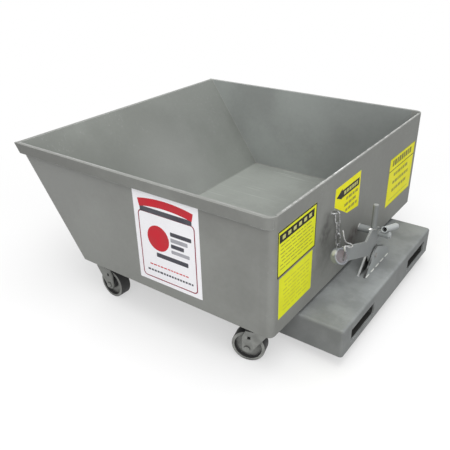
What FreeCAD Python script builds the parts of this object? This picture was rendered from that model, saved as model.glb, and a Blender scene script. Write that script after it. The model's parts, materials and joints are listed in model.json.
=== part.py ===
import FreeCAD, Part
import math
import os

# A tipping skip trolley: an open sheet-steel bin with a sloping chute, hinged at its front edge to a
# base with two fork pockets on four swivel casters, and held down by a weighted latch at the rear.
# Millimetres. +X points the way the bin tips, +Y is the left side, +Z is up.
# Heights are above the ground, and lengths along X start at the rear panel until the last step.

# Bin
bin_height = 457.0  # floor's underside to the top of the rim
bin_width = 1325.0  # over the side panels
floor_length = 921.0  # rear panel to the foot of the chute
top_length = 1238.0  # rear panel to the chute's outer face at the top
sheet = 5.0  # bin plate
corner_radius = 24.0  # outer bend of the two upright rear corners
corner_return = 50.0  # how far the rear panel reaches round each side
rim_height = 41.0  # folded lip along the sides and the front
rim_projection = 12.0
rim_sheet = 4.0
rim_bend = 2.0
rim_tail_angle = 45.0  # round the rear bend, how far short of the rear face the lip's tail stops
edge_bar_height = 25.0  # stiffener inside the rear panel's top edge
edge_bar_thickness = 5.0

# Base
ground_clearance = 48.0
base_height = 117.0
base_width = 928.0
base_tail = 174.0  # how far the base stands out behind the bin
pan_sheet = 6.0
pan_bend = 12.0
front_plate_thickness = 6.0
slot_width = 210.0  # fork pocket, clear width and height
slot_height = 55.0
slot_lift = 25.0  # base's lower edge to the pocket's floor
slot_spacing = 576.0  # between the pockets' middles
pocket_wall = 6.0
cross_bar_width = 40.0

# Outriggers that carry the casters
outrigger_thickness = 12.0
outrigger_width = 110.0
outrigger_reach = 640.0  # middle of the base to an outrigger's end
gusset_reach = 20.0
gusset_drop = 70.0
gusset_thickness = 8.0
gusset_inset = 12.0  # gusset's outer face to the outrigger's edge
pad_thickness = 6.0
pad_size = 70.0
pad_spacing = 800.0
seat_gap = 0.3  # between the pads and the resting bin

# Tipping hinge
hinge_lead = 24.0  # ahead of the foot of the chute
hinge_drop = 12.0  # below the bin's floor
hinge_spacing = 860.0
hinge_pin_radius = 10.0
hinge_head_radius = 14.0
lug_radius = 18.0
lug_thickness = 12.0
lug_tail = 8.0  # lug's weld along the floor and up the chute
lug_rise = 60.0
ear_thickness = 10.0
ear_drop = 50.0  # ear's foot below the hinge axis
hinge_gap = 3.0  # lug's rear face to the base
side_gap = 1.0  # lug to each ear
pin_overhang = 8.0  # hinge pin's head beyond each ear
running_gap = 0.05  # radial clearance of everything that turns on a pin

# Latch
pivot_height = 128.0  # above the bin's floor
pivot_offset = -23.0  # across the rear panel
pivot_radius = 10.0
pivot_end = 4.0  # pin's end beyond its rear washer
sleeve_radius = 13.35
sleeve_length = 58.0
sleeve_lead = 8.0  # sleeve's end ahead of the lever plate
sleeve_play = 0.5  # end play at each washer
washer_radius = 15.0
washer_thickness = 4.0
lever_plane = 80.0  # behind the rear panel
lever_thickness = 8.0
hub_radius = 24.0
weight_radius = 30.0
weight_thickness = 28.0
weight_edge = 2.0
weight_rim = 4.0  # raised edge round the weight's dished rear face
weight_dish = 5.0
weight_tilt = 27.0  # degrees, rear face turned upward
weight_turn = 25.0  # degrees, rear face turned to the left
weight_arm = 366.0  # pivot to the weight's middle, across and up
weight_rise = 68.0
arm_above = 29.0  # arm's edges, from the weight's middle
arm_below = 33.0
arm_seat = 10.0  # how far the arm wraps the weight
arm_bend_offset = 124.0  # dip in the arm's upper edge, from the pivot
arm_bend_rise = 13.0
hump_offset = 76.0  # peak beside the handle, from the pivot
hump_rise = 47.0
handle_radius = 10.65
handle_wall = 2.75
handle_offset = 57.0  # from the pivot
handle_foot = 42.0  # above the pivot
handle_length = 104.0
handle_plug = 4.0  # closes the handle's top
tee_radius = 12.7
tee_wall = 2.75
tee_left = 30.0
tee_right = 120.0
tee_slope = 18.0  # degrees down towards the right
tee_inset = 1.0  # from the sleeve's rear end
tee_sink = 2.5  # saddle cut in its wall, where it sits on the sleeve

# Keeper that the latch hooks under
keeper_gap = 5.0  # beside the lever, on each side
keeper_thickness = 8.0
keeper_left = 108.0  # foot of the keeper plates, left of the middle
keeper_right = 140.0
keeper_height = 97.0
keeper_top_left = 20.0
keeper_top_right = 0.0
keeper_tail_height = 30.0
keeper_pin_radius = 7.0
keeper_pin_head = 3.0
keeper_head_radius = 10.5
keeper_arm = 92.0  # pivot to the keeper pin
keeper_angle = 27.0  # degrees from straight down, towards the weight
lock_angle = 8.0  # lever's turn from clear to hooked
hook_gap = 1.5  # around the keeper pin
hook_depth = 16.0
nose_width = 36.0

# Safety chain
chain_offset = 252.0  # across the rear panel
chain_height = 311.0  # above the bin's floor
chain_lean = 6.0  # degrees away from the panel
staple_radius = 3.5
staple_bow = 14.0
staple_depth = 18.0
link_wire = 5.0
link_inside = 44.0
link_gape = 12.0
link_count = 3
link_gap = 0.4
clip_wire = 6.0
clip_inside = 40.0
clip_gape = 15.0
clip_nut_radius = 5.5
clip_nut_length = 18.0

# Casters
wheel_diameter = 127.0
wheel_width = 50.0
tread_edge = 3.0
rim_ring = 11.0  # wheel's outer ring
web_thickness = 18.0
hub_diameter = 44.0
hub_length = 54.0
bush_radius = 11.0
axle_radius = 6.35
leg_gap = 1.5  # hub to each fork leg
leg_thickness = 6.0
leg_foot_radius = 20.0
leg_hole = 12.0  # square hole above the axle
leg_hole_rise = 47.0
trail = 35.0  # kingpin to axle
crown_gap = 6.0  # above the wheel
crown_thickness = 6.0
crown_tail = 38.0  # crown's length away from the wheel
crown_nose = 42.0
race_radius = 35.0
swivel_gap = 0.4
kingpin_radius = 7.0
kingpin_nut = 11.0
kingpin_nut_height = 8.0
caster_plate_length = 105.0
caster_plate_width = 90.0
caster_plate_thickness = 6.0
caster_bolt_x = 80.0
caster_bolt_y = 60.0
bolt_radius = 5.0
bolt_hole_gap = 0.5
bolt_head_radius = 9.5
bolt_head_height = 5.0
nut_width = 17.0  # across flats
nut_height = 8.0
axle_nut_width = 20.0
axle_nut_height = 8.0
rear_kingpin = 97.0  # ahead of the rear panel
kingpin_inset = 58.0  # from the outriggers' ends
caster_yaw = {"front_left": 177.0, "front_right": 165.0, "rear_left": 15.5, "rear_right": -12.0}

# Places that follow from the sizes
half_bin = bin_width / 2
half_base = base_width / 2
deck_z = ground_clearance + base_height
bin_z = deck_z + outrigger_thickness + pad_thickness + seat_gap
top_z = bin_z + bin_height
slot_z = ground_clearance + slot_lift
slot_top_z = slot_z + slot_height
chute_angle = math.atan2(bin_height, top_length - floor_length)
hinge_x = floor_length + hinge_lead
hinge_z = bin_z - hinge_drop
base_front = hinge_x - lug_radius - hinge_gap
base_back = -base_tail
front_kingpin = base_front - outrigger_width / 2
kingpin_y = outrigger_reach - kingpin_inset
pivot_z = bin_z + pivot_height
sleeve_front = lever_plane - lever_thickness / 2 - sleeve_lead
sleeve_back = sleeve_front + sleeve_length
chain_z = bin_z + chain_height
staple_x = -staple_depth
wheel_radius = wheel_diameter / 2
crown_z = wheel_diameter + crown_gap
plate_z = deck_z - caster_plate_thickness
fork_half = hub_length / 2 + leg_gap
fork_outside = fork_half + leg_thickness
rim_front = top_length + rim_projection / math.sin(chute_angle)
middle_x = (rim_front - base_tail) / 2

X = FreeCAD.Vector(1, 0, 0)
Y = FreeCAD.Vector(0, 1, 0)
Z = FreeCAD.Vector(0, 0, 1)
point = FreeCAD.Vector


def box(x, y, z):
    return Part.makeBox(x[1] - x[0], y[1] - y[0], z[1] - z[0], point(x[0], y[0], z[0]))


def rod(radius, start, along, length):
    return Part.makeCylinder(radius, length, start, along)


def tube(outer, inner, start, along, length):
    return rod(outer, start, along, length).cut(rod(inner, start, along, length))


def prism(corners, thickness):
    return Part.Face(Part.makePolygon(corners + corners[:1])).extrude(thickness)


def plate_along_y(outline, low, high):
    return prism([point(x, low, z) for x, z in outline], Y * (high - low))


def plate_along_x(outline, low, high):
    return prism([point(low, y, z) for y, z in outline], X * (high - low))


def hexagon(width, start, along, height):
    side = point(along.y, along.z, along.x)
    spoke = side * (width / 2 / math.cos(math.pi / 6))
    turns = [FreeCAD.Rotation(along, 60 * i).multVec(spoke) for i in range(6)]
    return prism([start + turn for turn in turns], along * height)


def join(shapes):
    return shapes[0].multiFuse(shapes[1:]).removeSplitter() if len(shapes) > 1 else shapes[0]


def round_edges(shape, radius, chosen):
    edges = [edge for edge in shape.Edges if chosen(edge.BoundBox)]
    return shape.makeFillet(radius, edges)


def mirrored(shape):
    return shape.mirror(point(0, 0, 0), Y)


def near(value, wanted):
    return abs(value - wanted) < 1e-3


def slope_x(height, outward=0.0):
    """Where the chute's outer face, moved outward, is at a height."""
    return floor_length + (height - bin_z) / math.tan(chute_angle) + outward / math.sin(chute_angle)


def bin_parts():
    inner = half_bin - sheet
    bend_x = floor_length - sheet * math.tan(chute_angle / 2)
    back = corner_return
    side_outline = [(back, bin_z), (floor_length, bin_z), (top_length, top_z), (back, top_z)]
    side = plate_along_y(side_outline, inner, half_bin)
    floor_outline = [(sheet, bin_z), (floor_length, bin_z), (bend_x, bin_z + sheet), (sheet, bin_z + sheet)]
    floor = plate_along_y(floor_outline, -inner, inner)
    floor = round_edges(
        floor, corner_radius - sheet, lambda b: near(b.XMin, sheet) and near(b.XMax, sheet) and b.YLength < 1
    )
    chute = plate_along_y(
        [
            (floor_length, bin_z),
            (top_length, top_z),
            (top_length - sheet / math.sin(chute_angle), top_z),
            (bend_x, bin_z + sheet),
        ],
        -inner,
        inner,
    )
    edge_bar = box(
        (sheet, sheet + edge_bar_thickness),
        (corner_radius - half_bin, half_bin - corner_radius),
        (top_z - edge_bar_height, top_z),
    )
    return {
        "left_side_panel": side,
        "right_side_panel": mirrored(side),
        "rear_panel": rear_panel(),
        "floor_plate": floor,
        "chute_plate": chute,
        "rear_edge_bar": edge_bar,
    }


def rear_panel():
    """One sheet, bent round both upright corners."""

    def bent(back, half, radius):
        block = box((back, corner_return), (-half, half), (bin_z, top_z))
        return round_edges(block, radius, lambda b: near(b.XMax, back) and b.ZLength > bin_height / 2)

    return bent(0, half_bin, corner_radius).cut(bent(sheet, half_bin - sheet, corner_radius - sheet))


def rim_tail(length):
    """The rear end of a side lip, which follows the panel's bend and fades into the rear face."""
    low = top_z - rim_height
    reach = half_bin + rim_projection
    radius = corner_radius + rim_projection

    def block(inset, side, bend, z):
        body = box((inset, length), (0, side), (z, top_z))
        return round_edges(body, bend, lambda b: near(b.XMax, inset) and near(b.YMin, side))

    flange = block(0, reach, radius, top_z - rim_sheet)
    skirt = block(0, reach, radius, low).cut(block(rim_sheet, reach - rim_sheet, radius - rim_sheet, low))
    panel = block(0, half_bin, corner_radius, low)
    turn = math.radians(rim_tail_angle)
    centre = point(corner_radius, half_bin - corner_radius, low)
    along = point(-math.cos(turn), math.sin(turn), 0) * bin_width
    inward = point(-math.sin(turn), -math.cos(turn), 0) * bin_width
    past = prism(
        [centre + along, centre - along, centre - along + inward, centre + along + inward], Z * rim_height
    )
    return join([flange, skirt]).cut(panel).cut(past)


def rim_parts():
    low = top_z - rim_height
    under = top_z - rim_sheet
    reach = half_bin + rim_projection
    start = 2 * (corner_radius + rim_projection)

    def strip(back, z):
        return [(back, z), (slope_x(z, rim_projection), z), (rim_front, top_z), (back, top_z)]

    flange = plate_along_y(strip(start, under), half_bin, reach)
    skirt = plate_along_y(strip(start, low), reach - rim_sheet, reach)
    front_end = plate_along_y(
        [
            (slope_x(low, rim_projection - rim_sheet), low),
            (slope_x(low, rim_projection), low),
            (slope_x(top_z, rim_projection), top_z),
            (slope_x(top_z, rim_projection - rim_sheet), top_z),
        ],
        half_bin,
        reach,
    )
    side = join([rim_tail(start), flange, skirt, front_end])
    side = round_edges(
        side, rim_bend, lambda b: near(b.YMin, reach) and near(b.ZMin, top_z) and b.XLength > rim_projection
    )
    front = plate_along_y(
        [
            (slope_x(top_z), top_z),
            (slope_x(top_z, rim_projection), top_z),
            (slope_x(low, rim_projection), low),
            (slope_x(low, rim_projection - rim_sheet), low),
            (slope_x(under, rim_projection - rim_sheet), under),
            (slope_x(under), under),
        ],
        -half_bin,
        half_bin,
    )
    front = round_edges(front, rim_bend, lambda b: near(b.XMin, rim_front) and near(b.ZMin, top_z))
    return {"left_rim": side, "right_rim": mirrored(side), "front_rim": front}


def slots(low_x, high_x):
    cuts = []
    for middle in (-slot_spacing / 2, slot_spacing / 2):
        cuts.append(
            box((low_x, high_x), (middle - slot_width / 2, middle + slot_width / 2), (slot_z, slot_top_z))
        )
    return cuts


def base_parts():
    pan_front = base_front - front_plate_thickness

    def tray(back, front, half, low, top, radius):
        block = box((back, front), (-half, half), (low, top))

        def folded(b):
            over_top = near(b.ZMin, top) and not near(b.XMin, front)
            return over_top or near(b.XMax, back) and b.ZLength > radius

        return round_edges(block, radius, folded)

    outside = tray(base_back, base_front, half_base, ground_clearance, deck_z, pan_bend)
    inside = tray(
        base_back + pan_sheet,
        base_front + 1,
        half_base - pan_sheet,
        ground_clearance - 1,
        deck_z - pan_sheet,
        pan_bend - pan_sheet,
    )
    nose = box((pan_front, base_front), (-half_base, half_base), (ground_clearance, deck_z))
    cuts = slots(base_back - 1, base_front + 1)
    pocket = box(
        (base_back + pan_sheet, pan_front),
        (slot_spacing / 2 - slot_width / 2 - pocket_wall, slot_spacing / 2 + slot_width / 2 + pocket_wall),
        (slot_z - pocket_wall, slot_top_z + pocket_wall),
    ).cut(cuts[1])
    bars = []
    for x in (rear_kingpin, front_kingpin):
        bars.append(
            box(
                (x - cross_bar_width / 2, x + cross_bar_width / 2),
                (pan_bend - half_base, half_base - pan_bend),
                (slot_top_z + pocket_wall, deck_z - pan_sheet),
            )
        )
    return {
        "base_pan": outside.cut(inside).cut(nose).cut(Part.makeCompound(cuts)),
        "base_front_plate": outside.common(nose).cut(Part.makeCompound(cuts)),
        "left_fork_pocket": pocket,
        "right_fork_pocket": mirrored(pocket),
        "cross_bars": Part.makeCompound(bars),
    }


def bolt_places(x, y):
    return [
        point(x + i * caster_bolt_x / 2, y + j * caster_bolt_y / 2, 0) for i in (-1, 1) for j in (-1, 1)
    ]


def outrigger_parts():
    top = deck_z + outrigger_thickness
    sink = top - bolt_head_height
    parts = {}
    gussets = []
    pads = []
    bolts = []
    for name, x in (("rear", rear_kingpin), ("front", front_kingpin)):
        half = outrigger_width / 2
        bar = box((x - half, x + half), (-outrigger_reach, outrigger_reach), (deck_z, top))
        for side in (-1, 1):
            for place in bolt_places(x, side * kingpin_y):
                hole = rod(bolt_radius + bolt_hole_gap, place + Z * plate_z, Z, top - plate_z)
                head = Part.makeCone(bolt_radius, bolt_head_radius, bolt_head_height, place + Z * sink)
                shank = rod(bolt_radius, place + Z * (plate_z - nut_height), Z, sink - plate_z + nut_height)
                nut = hexagon(nut_width, place + Z * (plate_z - nut_height), Z, nut_height)
                bar = bar.cut(hole).cut(head)
                bolts.append(join([head, shank, nut]))
            pad_y = side * pad_spacing / 2
            pads.append(
                box(
                    (x - pad_size / 2, x + pad_size / 2),
                    (pad_y - pad_size / 2, pad_y + pad_size / 2),
                    (top, top + pad_thickness),
                )
            )
            for end in (-1, 1):
                face = x + end * (half - gusset_inset)
                edges = sorted((face, face - end * gusset_thickness))
                outline = [
                    (side * half_base, deck_z),
                    (side * (half_base + gusset_reach), deck_z),
                    (side * half_base, deck_z - gusset_drop),
                ]
                gussets.append(plate_along_x(outline, *edges))
        parts[name + "_outrigger"] = bar
    parts["outrigger_gussets"] = Part.makeCompound(gussets)
    parts["rest_pads"] = Part.makeCompound(pads)
    parts["caster_bolts"] = Part.makeCompound(bolts)
    return parts


def hinge_parts():
    lugs = []
    ears = []
    pins = []
    ear_gap = lug_thickness / 2 + side_gap
    reach = ear_gap + ear_thickness
    weld_z = bin_z + lug_rise
    lug_outline = [
        (floor_length - lug_tail, bin_z),
        (floor_length, bin_z),
        (slope_x(weld_z), weld_z),
        (hinge_x + lug_radius, hinge_z),
        (hinge_x, hinge_z),
    ]
    ear_outline = [
        (base_front, hinge_z - ear_drop),
        (hinge_x, hinge_z - lug_radius),
        (hinge_x, hinge_z),
        (base_front, deck_z),
    ]

    def eyed_plate(outline, low, thickness, bore):
        start = point(hinge_x, low, hinge_z)
        plate = plate_along_y(outline, low, low + thickness)
        plate = join([plate, rod(lug_radius, start, Y, thickness)])
        return plate.cut(rod(bore, start, Y, thickness))

    for y in (-hinge_spacing / 2, hinge_spacing / 2):
        lugs.append(
            eyed_plate(lug_outline, y - lug_thickness / 2, lug_thickness, hinge_pin_radius + running_gap)
        )
        for low in (y - reach, y + ear_gap):
            ears.append(eyed_plate(ear_outline, low, ear_thickness, hinge_pin_radius))
        centre = point(hinge_x, y, hinge_z)
        shank = rod(hinge_pin_radius, centre - Y * reach, Y, 2 * reach)
        heads = [rod(hinge_head_radius, centre + way * reach, way, pin_overhang) for way in (Y, -Y)]
        pins.append(join([shank] + heads))
    return {
        "hinge_lugs": Part.makeCompound(lugs),
        "hinge_ears": Part.makeCompound(ears),
        "hinge_pins": Part.makeCompound(pins),
    }


def around_pivot(arm, degrees):
    """A place on the lever, from the pivot, at an angle from straight down towards the weight."""
    turn = math.radians(degrees)
    return arm * math.sin(turn), -arm * math.cos(turn)


def lever_weight(edge):
    """A round block on the arm's end, which holds the lever down. Its rear face looks up and to the left."""
    weight = rod(weight_radius, X * (weight_thickness / 2), -X, weight_thickness)
    if edge:
        weight = round_edges(weight, edge, lambda b: b.XLength < edge and b.YLength > weight_radius)
        dish = rod(weight_radius - weight_rim, -X * (weight_thickness / 2), X, weight_dish)
        weight = weight.cut(dish)
    weight.rotate(point(0, 0, 0), Y, weight_tilt)
    weight.rotate(point(0, 0, 0), Z, -weight_turn)
    weight.translate(point(-lever_plane, pivot_offset + weight_arm, pivot_z + weight_rise))
    return weight


def lever_plate():
    """Flame-cut plate with a square notch that the keeper pin slides into as the lever drops."""
    back = -lever_plane - lever_thickness / 2
    free_y, free_z = around_pivot(keeper_arm, keeper_angle)
    lock_y, lock_z = around_pivot(keeper_arm, keeper_angle + lock_angle)
    room = keeper_pin_radius + hook_gap
    tip_y = free_y + room
    notch_end = lock_y + room
    notch_top = lock_z + room
    jaw_z = free_z - room
    arm_end = weight_arm - weight_radius + arm_seat
    outline = [
        (-hub_radius, 0),
        (free_y - room, notch_top),
        (notch_end, notch_top),
        (notch_end, jaw_z),
        (tip_y, jaw_z),
        (tip_y, jaw_z - hook_depth),
        (tip_y + hook_depth, jaw_z - hook_depth),
        (tip_y + nose_width, notch_top),
        (arm_end, weight_rise - arm_below),
        (arm_end, weight_rise + arm_above),
        (arm_bend_offset, arm_bend_rise),
        (hump_offset, hump_rise),
        (handle_offset + handle_radius, handle_foot),
        (handle_offset - handle_radius, handle_foot),
        (0, hub_radius),
    ]
    pivot = point(back, pivot_offset, pivot_z)
    plate = plate_along_x([(pivot.y + y, pivot.z + z) for y, z in outline], back, back + lever_thickness)
    plate = join([plate, rod(hub_radius, pivot, X, lever_thickness)])
    return plate.cut(rod(sleeve_radius, pivot, X, lever_thickness)).cut(lever_weight(0))


def latch_parts():
    pivot = point(0, pivot_offset, pivot_z)
    washer_back = sleeve_back + sleeve_play + washer_thickness
    pin = rod(pivot_radius, pivot, -X, washer_back + pivot_end)
    spacer_length = sleeve_front - sleeve_play
    spacer = tube(washer_radius, pivot_radius, pivot - X * spacer_length, X, spacer_length)
    washer = tube(washer_radius, pivot_radius, pivot - X * washer_back, X, washer_thickness)
    sleeve = tube(sleeve_radius, pivot_radius + running_gap, pivot - X * sleeve_back, X, sleeve_length)
    foot = pivot + Y * handle_offset + Z * handle_foot - X * lever_plane
    plug = rod(handle_radius - handle_wall, foot + Z * (handle_length - handle_plug), Z, handle_plug)
    handle = join([tube(handle_radius, handle_radius - handle_wall, foot, Z, handle_length), plug])
    tilt = FreeCAD.Rotation(X, tee_slope)
    along = tilt.multVec(Y)
    seat = pivot - X * (sleeve_back - tee_inset - tee_radius)
    seat = seat + tilt.multVec(Z) * (sleeve_radius + tee_radius - tee_sink)
    tee = tube(tee_radius, tee_radius - tee_wall, seat - along * tee_right, along, tee_left + tee_right)
    tee = tee.cut(rod(sleeve_radius, pivot - X * sleeve_back, X, sleeve_length))
    return {
        "latch_pivot_pin": pin,
        "latch_spacers": Part.makeCompound([spacer, washer]),
        "lever_sleeve": sleeve,
        "lever_plate": lever_plate(),
        "lever_weight": lever_weight(weight_edge),
        "lever_handle": handle,
        "tee_handle": tee,
    }


def keeper_parts():
    outline = [
        (keeper_left, deck_z),
        (keeper_top_left, deck_z + keeper_height),
        (keeper_top_right, deck_z + keeper_height),
        (-keeper_right, deck_z + keeper_tail_height),
        (-keeper_right, deck_z),
    ]
    pin_y, pin_z = around_pivot(keeper_arm, keeper_angle)
    reach = lever_thickness / 2 + keeper_gap
    front = -lever_plane + reach
    back = -lever_plane - reach - keeper_thickness
    start = point(back, pivot_offset + pin_y, pivot_z + pin_z)
    length = 2 * (reach + keeper_thickness)
    hole = rod(keeper_pin_radius, start, X, length)
    head = rod(keeper_head_radius, start, -X, keeper_pin_head)
    tail = rod(keeper_head_radius, start + X * length, X, keeper_pin_head)
    return {
        "keeper_front_plate": plate_along_x(outline, front, front + keeper_thickness).cut(hole),
        "keeper_rear_plate": plate_along_x(outline, back, back + keeper_thickness).cut(hole),
        "keeper_pin": join([hole, head, tail]),
    }


def loop(inside, gape, wire, centre, across):
    """A chain link standing upright, with its flat side along the given direction."""
    radius = (gape + wire) / 2
    straight = inside - gape
    normal = across.cross(Z)
    pieces = []
    for end in (-1, 1):
        ring = Part.makeTorus(radius, wire / 2, centre + Z * (end * straight / 2), normal)
        half = Part.makeBox(4 * inside, 4 * inside, 2 * inside, centre - point(2 * inside, 2 * inside, 0))
        shift = Z * (straight / 2) if end > 0 else Z * (-straight / 2 - 2 * inside)
        pieces.append(ring.common(half.translated(shift)))
    for side in (-1, 1):
        pieces.append(rod(wire / 2, centre + across * (side * radius) - Z * (straight / 2), Z, straight))
    return join(pieces)


def chain_parts():
    bow = point(staple_x, chain_offset, chain_z)
    ring = Part.makeTorus(staple_bow, staple_radius, bow + X * staple_bow, Z)
    ahead = bow + X * staple_bow
    half = box(
        (ahead.x - 2 * staple_depth, ahead.x),
        (ahead.y - 2 * staple_bow, ahead.y + 2 * staple_bow),
        (ahead.z - staple_bow, ahead.z + staple_bow),
    )
    legs = [rod(staple_radius, ahead + Y * (side * staple_bow), X, -ahead.x) for side in (-1, 1)]
    staple = join([ring.common(half)] + legs)
    middle = bow + Z * (staple_radius + link_gap - link_inside / 2)
    links = []
    for i in range(link_count):
        links.append(loop(link_inside, link_gape, link_wire, middle, X if i % 2 == 0 else Y))
        middle = middle - Z * (link_inside - link_gap)
    middle = middle + Z * (link_inside / 2 - clip_inside / 2)
    across = X if link_count % 2 == 0 else Y
    clip_side = middle + across * ((clip_gape + clip_wire) / 2) - Z * (clip_nut_length / 2)
    clip = join(
        [
            loop(clip_inside, clip_gape, clip_wire, middle, across),
            hexagon(clip_nut_radius * 2, clip_side, Z, clip_nut_length),
        ]
    )
    hanging = {"chain_links": Part.makeCompound(links), "chain_clip": clip}
    for shape in hanging.values():
        shape.rotate(bow, Y, chain_lean)
    hanging["chain_staple"] = staple
    return hanging


def caster_wheel():
    """Wheel on the origin, turning about Y."""
    half = wheel_width / 2
    ring_inside = wheel_radius - rim_ring
    recess = (wheel_width - web_thickness) / 2
    tread = rod(wheel_radius, Y * -half, Y, wheel_width)
    tread = round_edges(tread, tread_edge, lambda b: b.YLength < 1 and b.XLength > wheel_radius)
    dish = tube(ring_inside, hub_diameter / 2, Y * -half, Y, recess)
    hub = rod(hub_diameter / 2, Y * (-hub_length / 2), Y, hub_length)
    wheel = tread.cut(dish).cut(dish.mirror(point(0, 0, 0), Y))
    wheel = join([wheel, hub])
    return wheel.cut(rod(bush_radius, Y * (-hub_length / 2), Y, hub_length))


def caster_fork():
    """Fork with its kingpin on the Z axis and the wheel trailing towards +X."""
    top = crown_z + crown_thickness
    axle = point(trail, 0, wheel_radius)
    reach = math.hypot(trail + crown_tail, crown_z - wheel_radius)
    lean = math.atan2(crown_z - wheel_radius, -crown_tail - trail)
    touch = lean + math.acos(leg_foot_radius / reach)
    foot = (trail + leg_foot_radius * math.cos(touch), wheel_radius + leg_foot_radius * math.sin(touch))
    front = trail + leg_foot_radius
    outline = [
        (-crown_tail, top),
        (-crown_tail, crown_z),
        foot,
        (trail, wheel_radius),
        (front, wheel_radius),
        (front, wheel_radius + leg_hole_rise),
        (crown_nose, top),
    ]
    hole_z = wheel_radius + leg_hole_rise
    hole = (trail - leg_hole, trail, hole_z - leg_hole / 2, hole_z + leg_hole / 2)
    pieces = [box((-crown_tail, crown_nose), (-fork_outside, fork_outside), (crown_z, top))]
    for low in (-fork_outside, fork_half):
        leg = plate_along_y(outline, low, low + leg_thickness)
        pieces.append(leg)
        pieces.append(rod(leg_foot_radius, axle + Y * low, Y, leg_thickness))
    pieces.append(rod(race_radius, Z * top, Z, plate_z - swivel_gap - top))
    fork = join(pieces)
    fork = fork.cut(box(hole[:2], (-fork_outside, fork_outside), hole[2:]))
    fork = fork.cut(rod(axle_radius, axle - Y * fork_outside, Y, 2 * fork_outside))
    return fork.cut(rod(kingpin_radius + running_gap, Z * crown_z, Z, plate_z - crown_z))


def caster_parts():
    axle = point(trail, 0, wheel_radius)
    nut_z = crown_z - swivel_gap - kingpin_nut_height
    bolt = join(
        [
            rod(axle_radius, axle - Y * fork_outside, Y, 2 * fork_outside),
            hexagon(axle_nut_width, axle + Y * fork_outside, Y, axle_nut_height),
            hexagon(axle_nut_width, axle - Y * fork_outside, -Y, axle_nut_height),
        ]
    )
    wheel = caster_wheel()
    wheel.translate(axle)
    bush = tube(bush_radius, axle_radius + running_gap, axle - Y * (hub_length / 2), Y, hub_length)
    plate = box(
        (-caster_plate_length / 2, caster_plate_length / 2),
        (-caster_plate_width / 2, caster_plate_width / 2),
        (plate_z, deck_z),
    ).cut(rod(kingpin_radius, Z * plate_z, Z, caster_plate_thickness))
    for place in bolt_places(0, 0):
        plate = plate.cut(rod(bolt_radius + bolt_hole_gap, place + Z * plate_z, Z, caster_plate_thickness))
    kingpin = join(
        [
            rod(kingpin_radius, Z * nut_z, Z, deck_z - nut_z),
            rod(kingpin_nut, Z * nut_z, Z, kingpin_nut_height),
        ]
    )
    fixed = {"caster_plate": plate, "kingpin": kingpin}
    turning = {"caster_fork": caster_fork(), "caster_axle": bolt, "caster_wheel": wheel, "wheel_bush": bush}
    parts = {}
    for name, yaw in caster_yaw.items():
        x = front_kingpin if name.startswith("front") else rear_kingpin
        y = kingpin_y if name.endswith("left") else -kingpin_y
        for piece, shape in fixed.items():
            parts[name + "_" + piece] = shape.translated(point(x, y, 0))
        for piece, shape in turning.items():
            turned = shape.rotated(point(0, 0, 0), Z, yaw)
            parts[name + "_" + piece] = turned.translated(point(x, y, 0))
    return parts


def all_parts():
    parts = {}
    for group in (
        bin_parts,
        rim_parts,
        base_parts,
        outrigger_parts,
        hinge_parts,
        latch_parts,
        keeper_parts,
        chain_parts,
        caster_parts,
    ):
        parts.update(group())
    return parts


os.makedirs("parts", exist_ok=True)
for node, shape in all_parts().items():
    shape.translate(X * -middle_x)
    shape.exportStep("parts/" + node + ".step")
    print(node, len(shape.Solids), "solids", round(shape.Volume / 1000, 1), "cm3")
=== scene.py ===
# %% [markdown]
# # A tipping skip on swivel casters
# The real object is a bin of welded sheet steel that tips forward about a hinge at the front of a low
# base. Every load-carrying piece comes from the solid model, at its real size, and stays where it is.
# This lesson adds what the solid model leaves out: paint, stickers, welds, a bent wire and the light.

# %% Load the solid model
import json
import math
import random

import bmesh
import bpy
from mathutils import Matrix, Vector


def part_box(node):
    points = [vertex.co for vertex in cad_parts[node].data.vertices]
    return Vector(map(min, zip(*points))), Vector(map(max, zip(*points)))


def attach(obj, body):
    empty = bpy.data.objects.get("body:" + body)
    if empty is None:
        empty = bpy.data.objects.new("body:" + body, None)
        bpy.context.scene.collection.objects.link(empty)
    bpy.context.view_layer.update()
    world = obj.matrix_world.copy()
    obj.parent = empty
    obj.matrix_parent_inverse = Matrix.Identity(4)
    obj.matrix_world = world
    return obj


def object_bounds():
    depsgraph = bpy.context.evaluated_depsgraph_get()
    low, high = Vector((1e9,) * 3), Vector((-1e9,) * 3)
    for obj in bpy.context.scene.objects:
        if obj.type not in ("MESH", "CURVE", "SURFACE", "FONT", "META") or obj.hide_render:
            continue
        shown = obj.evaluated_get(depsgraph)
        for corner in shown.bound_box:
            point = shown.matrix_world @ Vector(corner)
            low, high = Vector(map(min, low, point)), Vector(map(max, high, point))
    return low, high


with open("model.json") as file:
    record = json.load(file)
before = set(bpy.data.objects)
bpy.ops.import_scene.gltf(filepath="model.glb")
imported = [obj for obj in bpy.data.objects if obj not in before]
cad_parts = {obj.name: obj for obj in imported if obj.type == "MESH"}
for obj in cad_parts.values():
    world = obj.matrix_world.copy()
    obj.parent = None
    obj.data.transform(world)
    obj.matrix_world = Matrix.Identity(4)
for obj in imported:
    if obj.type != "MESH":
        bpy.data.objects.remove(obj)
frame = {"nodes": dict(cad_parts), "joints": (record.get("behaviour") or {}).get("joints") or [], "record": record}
nodes = frame["nodes"]
solid_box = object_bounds()
mm = 0.001
print(len(nodes), "nodes,", [round(side / mm) for side in solid_box[1] - solid_box[0]], "mm")

# %% [markdown]
# ## The camera
# The picture was taken from behind and to the left, a little above the bin. The straight edges of the bin
# and the base give the place, the turn and the focal length, so the camera is simply set to those values.
# A focal length in pixels becomes a lens in millimetres through the width of the sensor.

# %% Camera at the photograph's angle
photo_side = 450
focal_pixels = 550.3
sensor_width = 36.0
camera_place = (-1.2804, 1.9173, 1.3863)
camera_turn = (62.21, 0.89, -144.09)

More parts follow.
